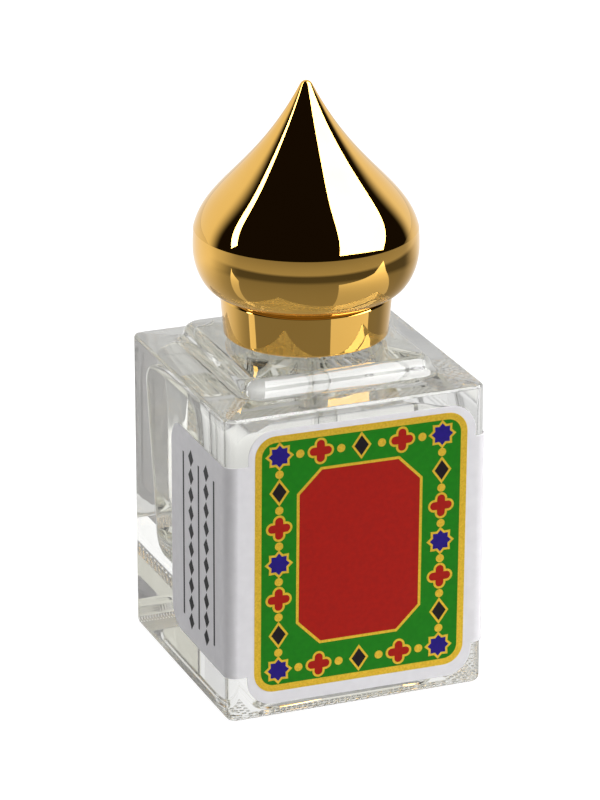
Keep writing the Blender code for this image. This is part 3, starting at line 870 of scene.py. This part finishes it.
def flatPlate(name, edges, depth, corner=0, segments=1):
    # A plate of the flat label: edges are left, right, low and high
    left, right, low, high = edges
    middle = ((left + right) / 2 * mm, -sum(depth) / 2 * mm, (low + high) / 2 * mm)
    size = ((right - left) * mm, (depth[1] - depth[0]) * mm, (high - low) * mm)
    bpy.ops.mesh.primitive_cube_add(size=1, location=middle, scale=size)
    plate = placePiece(name)
    if corner:
        bevelEdges(plate, lambda ends: near(ends[0].x, ends[1].x) and near(ends[0].z, ends[1].z),
                   corner * mm, segments)
    return plate


def prism(name, sides, radius, depth, squash=1):
    # A flat motif's start, centred on the origin
    bpy.ops.mesh.primitive_cylinder_add(vertices=sides, radius=radius * mm,
                                        depth=(depth[1] - depth[0]) * mm,
                                        location=(0, -sum(depth) / 2 * mm, 0),
                                        rotation=(quarter, 0, 0))
    piece = placePiece(name)
    if squash < 1:
        editMode(piece, "SELECT")
        resizeParts(squash, 1, 1)
        objectMode()
    return piece


def makeStar():
    # A disc with every other corner drawn in
    m = motifSet
    star = prism("star", m["starSides"], m["star"], m["depth"])
    pickParts(star, "VERT", lambda corners: round(angleOf(corners) / 360 * m["starSides"]) % 2 == 1)
    resizeParts(m["starWaist"], 1, m["starWaist"])
    objectMode()
    return star


def makeQuatrefoil():
    # A disc whose rim is drawn in between four lobes, by steps from their middles to their ends
    m = motifSet
    foil = prism("quatrefoil", m["foilSides"], 1, m["depth"])
    away, lobe, apart = m["lobeAway"], m["lobe"], 360 / m["foilSides"]
    for step in range(round(45 / apart) + 1):
        turn = math.radians(apart * step)
        reach = away * math.cos(turn) + math.sqrt(lobe ** 2 - (away * math.sin(turn)) ** 2)

        def onTurn(corners):
            angle = angleOf(corners) % 90
            return round(min(angle, 90 - angle) / apart) == step

        pickParts(foil, "VERT", onTurn)
        resizeParts(reach * m["foil"], 1, reach * m["foil"])
    objectMode()
    return foil


def layOut(shape, along, height, *inking):
    # Prints a copy of a motif and moves it to its place on the flat label
    copy = shape.copy()
    copy.data = shape.data.copy()
    bpy.context.collection.objects.link(copy)
    printPlate(copy, *inking)
    for corner in copy.data.vertices:
        corner.co.x += (flatStart() + along) * mm
        corner.co.z += height * mm
    return copy


def makeSheet():
    # The white paper: a tall panel and two lower wings, cut across where it will bend
    l = labelSet
    length = flatStart() + l["straight"] + bendEnd() + l["rightEnd"]
    sheet = flatPlate("wrapLabel", (0, length, *l["wing"]), l["paper"], l["wingCorner"],
                      l["cornerSteps"])
    panel = flatPlate("panel", shifted(l["panel"]), l["paper"], l["panelCorner"], l["cornerSteps"])
    applyBoolean(sheet, panel, "UNION")
    for side in (-1, 1):
        for cut in range(l["bendCuts"] + 1):
            along = side * shareOf((l["straight"], bendEnd()), cut, l["bendCuts"])
            cutAcross(sheet, ((flatStart() + along) * mm, 0, 0), (1, 0, 0))
    return printPlate(sheet, l["paper"], "paper")


def makeFront():
    # Gold frame, green field and red panel
    l = labelSet
    field = flatPlate("field", shifted(l["frame"]), l["field"], l["frameCorner"], l["cornerSteps"])
    red = flatPlate("redPanel", shifted(l["panelRed"]), l["redPlate"], l["panelChamfer"])
    return [printPlate(field, l["field"], "foil", "green", l["frameWidth"]),
            printPlate(red, l["redPlate"], "foil", "red", l["outline"])]


def makeBorder():
    # A ring of stars, quatrefoils and lozenges round the red panel, with gold dots in between
    m = motifSet
    sides, ends, depth = m["sides"], m["ends"], m["depth"]
    star, foil = makeStar(), makeQuatrefoil()
    lozenge = prism("lozenge", 4, m["lozenge"], depth, m["squash"])
    dot = prism("dot", m["dotSides"], m["dot"], depth)
    column = [(star, "navy"), (lozenge, "black"), (foil, "red"), (star, "navy"), (foil, "red"),
              (lozenge, "black"), (star, "navy")]
    line = [(foil, "red"), (lozenge, "black"), (foil, "red")]
    rows, places = len(column) - 1, len(line) + 1
    laid = [(shape, ink, along, shareOf(ends, row, rows))
            for row, (shape, ink) in enumerate(column) for along in sides]
    laid += [(shape, ink, shareOf(sides, place, places), height)
             for place, (shape, ink) in enumerate(line, 1) for height in ends]
    laid += [(dot, "foil", shareOf(sides, place + 0.5, places), height)
             for place in range(places) for height in ends]
    laid += [(dot, "foil", along, shareOf(ends, row + 0.5, rows))
             for row in range(rows) for along in sides]
    prints = [layOut(shape, along, height, depth, "foil", ink,
                     m["dotOutline" if shape == dot else "outline"])
              for shape, ink, along, height in laid]
    for spare in (star, foil, lozenge, dot):
        bpy.data.objects.remove(spare)
    return prints


def makeWingPrint():
    # Upright rules and chains of small lozenges on both wings
    w = wingSet
    lozenge = prism("wingLozenge", 4, w["lozenge"], w["depth"], w["squash"])
    laid = []
    for side in (-1, 1):
        for place in w["rules"]:
            middle, half = side * (bendEnd() + place), w["ruleWidth"] / 2
            edges = shifted((middle - half, middle + half, *w["ends"]))
            rule = flatPlate("rule", edges, w["depth"])
            laid.append(printPlate(rule, w["depth"], "black"))
        for place in w["chains"]:
            for link in range(w["count"]):
                height = shareOf(w["ends"], link, w["count"] - 1)
                along = side * (bendEnd() + place)
                laid.append(layOut(lozenge, along, height, w["depth"], "black"))
    bpy.data.objects.remove(lozenge)
    return laid


def labelPath():
    # The bottle's outline, 0.1 mm further out, which the paper follows
    l = labelSet
    flat, out, share = l["straight"], l["straight"] + l["bend"], l["bendRound"]
    points = [(-out, l["leftEnd"]), *roundOff((-out, -flat), (-out, -out), (-flat, -out), share),
              *roundOff((flat, -out), (out, -out), (out, -flat), share), (out, l["rightEnd"])]
    path = drawCurve("labelPath", points, lambda at: (at[0] * mm, at[1] * mm, 0),
                     toolSet["pathSteps"])
    path.data.dimensions = "2D"
    return path


def makeLabel():
    sheet = makeSheet()
    prints = makeFront() + makeBorder() + makeWingPrint()
    selectOnly(sheet)
    for piece in prints:
        piece.select_set(True)
    bpy.ops.object.join()
    editMode(sheet, "SELECT")
    bpy.ops.transform.rotate(value=math.radians(labelSet["askew"]), orient_axis="Y",
                             center_override=(flatStart() * mm, 0, sum(labelSet["wing"]) / 2 * mm))
    objectMode()
    path = labelPath()
    applyModifier(sheet, "CURVE", object=path, deform_axis="POS_X")
    bpy.data.objects.remove(path)
    dress(sheet, "bottle", "label_paper", "wrap_label")


# Rod, plug, liner and threaded insert, in mm

satin = {"scale": 300, "reliefScale": 1200, "relief": 0.2, "depth": 0.01 * mm}

plasticSet = {"plug": {"colour": (0.82, 0.83, 0.81), "second": (0.76, 0.77, 0.75),
                       "rough": (0.32, 0.45), **satin},
              "insert": {"colour": (0.80, 0.80, 0.78), "second": (0.75, 0.75, 0.73),
                         "rough": (0.30, 0.42), **satin},
              "foam": {"colour": (0.82, 0.82, 0.80), "second": (0.70, 0.70, 0.68),
                       "rough": (0.7, 0.9), "scale": 4000, "reliefScale": 6000, "relief": 0.8,
                       "depth": 0.03 * mm}}

rodSet = {"radius": 1.25, "tip": 11.6, "tipPull": 0.45, "grooves": 4, "grooveDepth": 0.3,
          "grooveWidth": 0.5, "grooveSpacing": 1.1, "head": (4.4, 48.6, 49.4),
          "knob": (1.9, 51.0, 52.0), "edge": 0.08, "ior": 1.49,
          "tints": ((0.93, 0.935, 0.93), (0.90, 0.905, 0.90))}

plugSet = {"seat": 46.6, "flange": (5.2, 0.6), "body": 3.7, "cup": 3.1, "bottom": 40.1,
           "taper": 0.6, "floor": 0.8, "hole": 1.55, "bead": 0.2, "beadHalf": 0.4,
           "beads": (45.0, 43.4), "edge": 0.06}

linerSet = {"hole": 1.55, "radius": 6.85, "low": 47.5, "high": 48.3, "edge": 0.05}

insertSet = {"radius": 7.65, "bore": 7.15, "bottom": 37.2, "flange": (9.25, 42.5, 43.3),
             "top": 50.7, "chamfer": 0.3, "plate": 49.7, "hole": 1.55, "threadLow": 38.6,
             "threadCrest": 6.8, "turns": 1.5}


def turnSmall(name, points, edge, *dressing):
    # A small turned piece whose sharp edges are taken off
    piece = spinProfile(name, points, toolSet["smallSteps"])
    applyModifier(piece, "BEVEL", width=edge * mm, segments=2, limit_method="ANGLE",
                  angle_limit=math.radians(toolSet["soften"]))
    dress(piece, *dressing)


def makeRod(plastic):
    # From the round tip up past its grooves to the head that the cap turns on
    r = rodSet
    radius, tip = r["radius"], r["tip"]
    pull, shaft = radius * r["tipPull"], tip + radius
    points = [(0, tip, None, (pull, tip)), (radius, shaft, (radius, tip + pull), None)]
    for groove in range(r["grooves"]):
        low = shaft + r["grooveSpacing"] * (groove + 1)
        inner, high = radius - r["grooveDepth"], low + r["grooveWidth"]
        points += [(radius, low), (inner, low), (inner, high), (radius, high)]
    head, headLow, headHigh = r["head"]
    knob, knobLow, knobHigh = r["knob"]
    points += [(radius, headLow), (head, headLow), (head, headHigh), (radius, headHigh),
               (radius, knobLow), (knob, knobLow), (knob, (knobLow + knobHigh) / 2),
               (radius, knobHigh), (0, knobHigh)]
    turnSmall("applicatorRod", points, r["edge"], "applicator", "rod_plastic", "applicator_rod",
              [plastic])


def makePlug(plastic):
    p = plugSet
    flange, thick = p["flange"]
    body, cup, bottom, half = p["body"], p["cup"], p["bottom"], p["beadHalf"]
    top = p["seat"] + thick
    points = [(cup, top), (flange, top), (flange, p["seat"]), (body, p["seat"])]
    for middle in p["beads"]:
        points += [(body, middle + half), (body + p["bead"], middle), (body, middle - half)]
    points += [(body, bottom + p["taper"]), (cup, bottom), (p["hole"], bottom),
               (p["hole"], bottom + p["floor"]), (cup, bottom + p["floor"])]
    turnSmall("neckPlug", points, p["edge"], "bottle", "plug_plastic", "neck_plug", [plastic])


def makeLiner(foam):
    l = linerSet
    points = [(l["hole"], l["low"]), (l["radius"], l["low"]), (l["radius"], l["high"]),
              (l["hole"], l["high"])]
    turnSmall("sealLiner", points, l["edge"], "applicator", "liner_foam", "seal_liner", [foam])


def makeInsert(plastic):
    i = insertSet
    flange, flangeLow, flangeHigh = i["flange"]
    radius, bore, hole, top, bevel = i["radius"], i["bore"], i["hole"], i["top"], i["chamfer"]
    points = [(radius, i["bottom"]), (radius, flangeLow), (flange, flangeLow), (flange, flangeHigh),
              (radius, flangeHigh), (radius, top - bevel), (radius - bevel, top), (hole, top),
              (hole, i["plate"]), (bore, i["plate"]), (bore, i["bottom"])]
    insert = spinProfile("threadedInsert", points, toolSet["smallSteps"])
    thread = makeThread("insertThread", bore * mm, i["threadCrest"] * mm, i["threadLow"] * mm,
                        i["turns"])
    applyBoolean(insert, thread, "UNION")
    dress(insert, "cap", "insert_plastic", "threaded_insert", [plastic])


makeCamera()
makeStudio()
gold = makeFinish("polished_gold", goldSet, Metallic=1.0)
glass = makeGlassFinish("clear_glass", glassSet["ior"], glassSet["tints"])
wetGlass = makeGlassFinish("glass_under_oil", glassSet["ior"] / oilSet["ior"], glassSet["tints"])
stippleFoot(glass)
oilTop = makeGlassFinish("oil_surface", oilSet["ior"], oilSet["surfaceTints"])
oilInside = makeGlassFinish("oil_against_glass", oilSet["insideIor"], oilSet["insideTints"])
inks = {name: makeFinish("label_" + name, inkSet[name],
                         **inkSockets.get(name, inkSockets["printed"])) for name in inkOrder}
makeDome(gold)
makeBowl(gold)
makeBottle(glass, wetGlass)
makeOil(oilTop, oilInside)
makeLabel()
makeRod(makeGlassFinish("rod_plastic", rodSet["ior"], rodSet["tints"]))
makePlug(makeFinish("plug_plastic", plasticSet["plug"]))
makeLiner(makeFinish("liner_foam", plasticSet["foam"]))
makeInsert(makeFinish("insert_plastic", plasticSet["insert"]))

bounceSet = {"max_bounces": 64, "transmission_bounces": 64, "glossy_bounces": 32}

scene = bpy.context.scene
scene.view_settings.view_transform = "Standard"
for bounces, most in bounceSet.items():
    setattr(scene.cycles, bounces, most)
